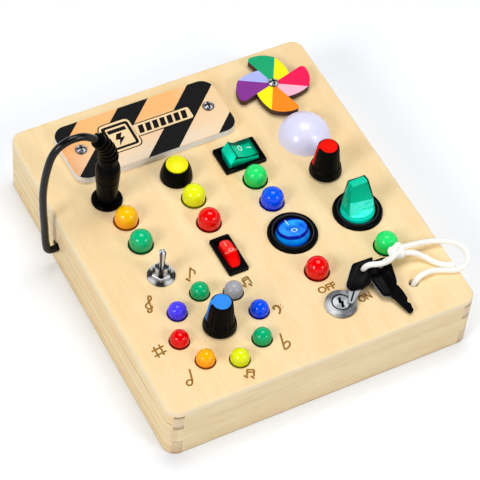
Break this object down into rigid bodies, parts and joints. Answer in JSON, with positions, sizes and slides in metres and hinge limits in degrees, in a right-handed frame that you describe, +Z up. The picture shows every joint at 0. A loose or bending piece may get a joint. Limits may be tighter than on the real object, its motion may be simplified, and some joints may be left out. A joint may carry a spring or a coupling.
{
  "type": "activity board",
  "caption": "Tabletop wooden activity board: lit caps, rocker, toggle, button, dial and key switches, a spinner, a power plug and keys on a cord.",
  "frame": {"origin": "bottom centre of the wooden box, on the surface that it stands on", "axes": "+X to the right along the front edge, +Y from the front edge to the back, +Z up out of the lid"},
  "size_m": [0.1667, 0.169, 0.0826],
  "materials": {
    "pine": "oiled smooth",
    "plywood": "sanded",
    "steel": "bright zinc",
    "nickel": "nickel plated",
    "zinc": "die cast",
    "brass": "bare",
    "printed_plate": "printed satin",
    "black_plastic": "moulded satin",
    "soft_black": "soft vinyl",
    "yellow_plastic": "gloss",
    "green_lens": "gloss",
    "red_lens": "gloss",
    "blue_lens": "gloss",
    "turquoise_lens": "gloss",
    "painted_wood": "printed gloss",
    "nylon": "natural",
    "milky_lens": "pearl",
    "red_cap": "gloss",
    "blue_cap": "gloss",
    "white_cord": "braided",
    "orange_lens": "gloss",
    "leaf_lens": "gloss",
    "lime_lens": "gloss",
    "scarlet_lens": "gloss",
    "sky_lens": "gloss",
    "grey_lens": "gloss",
    "indigo_lens": "gloss",
    "clear_lens": "clear",
    "fibreglass": "lacquered",
    "battery_shell": "wrapped"
  },
  "bodies": {
    "board": {"top_panel": "pine", "front_wall": "pine", "back_wall": "pine", "left_wall": "pine", "right_wall": "pine", "bottom_panel": "plywood", "bottom_screws": "steel", "power_plate": "printed_plate", "plate_screws": "steel", "dc_jack": "black_plastic", "panel_nuts": "steel", "power_lead": "soft_black", "button_housing": "black_plastic", "button_spring": "steel", "green_rocker_frame": "black_plastic", "red_rocker_frame": "black_plastic", "blue_rocker_frame": "black_plastic", "paddle_frame": "black_plastic", "switch_terminals": "brass", "toggle_body": "nickel", "bushing_nuts": "nickel", "toggle_washer": "nickel", "pinwheel_screw": "steel", "pinwheel_spacer": "nylon", "dome_lamp_cover": "milky_lens", "potentiometer": "zinc", "rotary_switch": "zinc", "lock_body": "nickel", "key_bows": "black_plastic", "key_blades": "steel", "key_cord": "white_cord", "key_cord_knot": "white_cord", "orange_caps": "orange_lens", "green_caps": "leaf_lens", "lime_caps": "lime_lens", "red_caps": "scarlet_lens", "blue_caps": "sky_lens", "grey_caps": "grey_lens", "indigo_caps": "indigo_lens", "led_lamps": "clear_lens", "circuit_board": "fibreglass", "battery_box": "black_plastic", "batteries": "battery_shell", "battery_door": "black_plastic"},
    "spinner": {"pinwheel": "painted_wood"},
    "green_tipper": {"green_rocker": "green_lens"},
    "red_tipper": {"red_rocker": "red_lens"},
    "blue_tipper": {"blue_rocker": "blue_lens"},
    "paddle_tipper": {"paddle": "turquoise_lens"},
    "button": {"button_cap": "yellow_plastic"},
    "toggle": {"toggle_lever": "nickel"},
    "red_dial": {"red_knob": "black_plastic", "red_knob_cap": "red_cap", "potentiometer_shaft": "nickel"},
    "blue_dial": {"blue_knob": "black_plastic", "blue_knob_cap": "blue_cap", "rotary_switch_shaft": "nickel"},
    "lock_core": {"lock_plug": "nickel"},
    "power_plug": {"dc_plug": "soft_black", "dc_plug_barrel": "nickel"}
  },
  "joints": [
    {"name": "spinner_turn", "type": "hinge", "parent": "board", "child": "spinner", "pos_m": [0.0487, 0.0603, 0.0335], "axis": [0, 0, 1], "continuous": true},
    {"name": "green_rocker_tilt", "type": "hinge", "parent": "board", "child": "green_tipper", "pos_m": [0.0156, 0.0298, 0.031], "axis": [0, 1, 0], "range_deg": [-24, 0]},
    {"name": "red_rocker_tilt", "type": "hinge", "parent": "board", "child": "red_tipper", "pos_m": [-0.0147, -0.019, 0.031], "axis": [1, 0, 0], "range_deg": [-24, 0]},
    {"name": "blue_rocker_tilt", "type": "hinge", "parent": "board", "child": "blue_tipper", "pos_m": [0.0169, -0.0195, 0.031], "axis": [1, 0, 0], "range_deg": [0, 28]},
    {"name": "paddle_tilt", "type": "hinge", "parent": "board", "child": "paddle_tipper", "pos_m": [0.0496, -0.0202, 0.031], "axis": [1, 0, 0], "range_deg": [0, 22]},
    {"name": "button_press", "type": "slide", "parent": "board", "child": "button", "axis": [0, 0, -1], "range_m": [0, 0.002], "stiffness_N_per_m": 400, "springref_m": -0.001, "deforming": ["button_spring"]},
    {"name": "toggle_tilt", "type": "hinge", "parent": "board", "child": "toggle", "pos_m": [-0.0465, -0.0164, 0.0335], "axis": [1, 0, 0], "range_deg": [-12, 12]},
    {"name": "red_dial_turn", "type": "hinge", "parent": "board", "child": "red_dial", "pos_m": [0.0475, 0.0064, 0.04], "axis": [0, 0, 1], "range_deg": [-204, 76]},
    {"name": "blue_dial_turn", "type": "hinge", "parent": "board", "child": "blue_dial", "pos_m": [-0.0355, -0.051, 0.04], "axis": [0, 0, 1], "range_deg": [-199, 116]},
    {"name": "lock_turn", "type": "hinge", "parent": "board", "child": "lock_core", "pos_m": [0.0176, -0.0629, 0.03], "axis": [0, 0, 1], "range_deg": [-90, 0]},
    {"name": "plug_pull", "type": "slide", "parent": "board", "child": "power_plug", "axis": [0, 0, 1], "range_m": [0, 0.012], "deforming": ["power_lead"]}
  ]
}
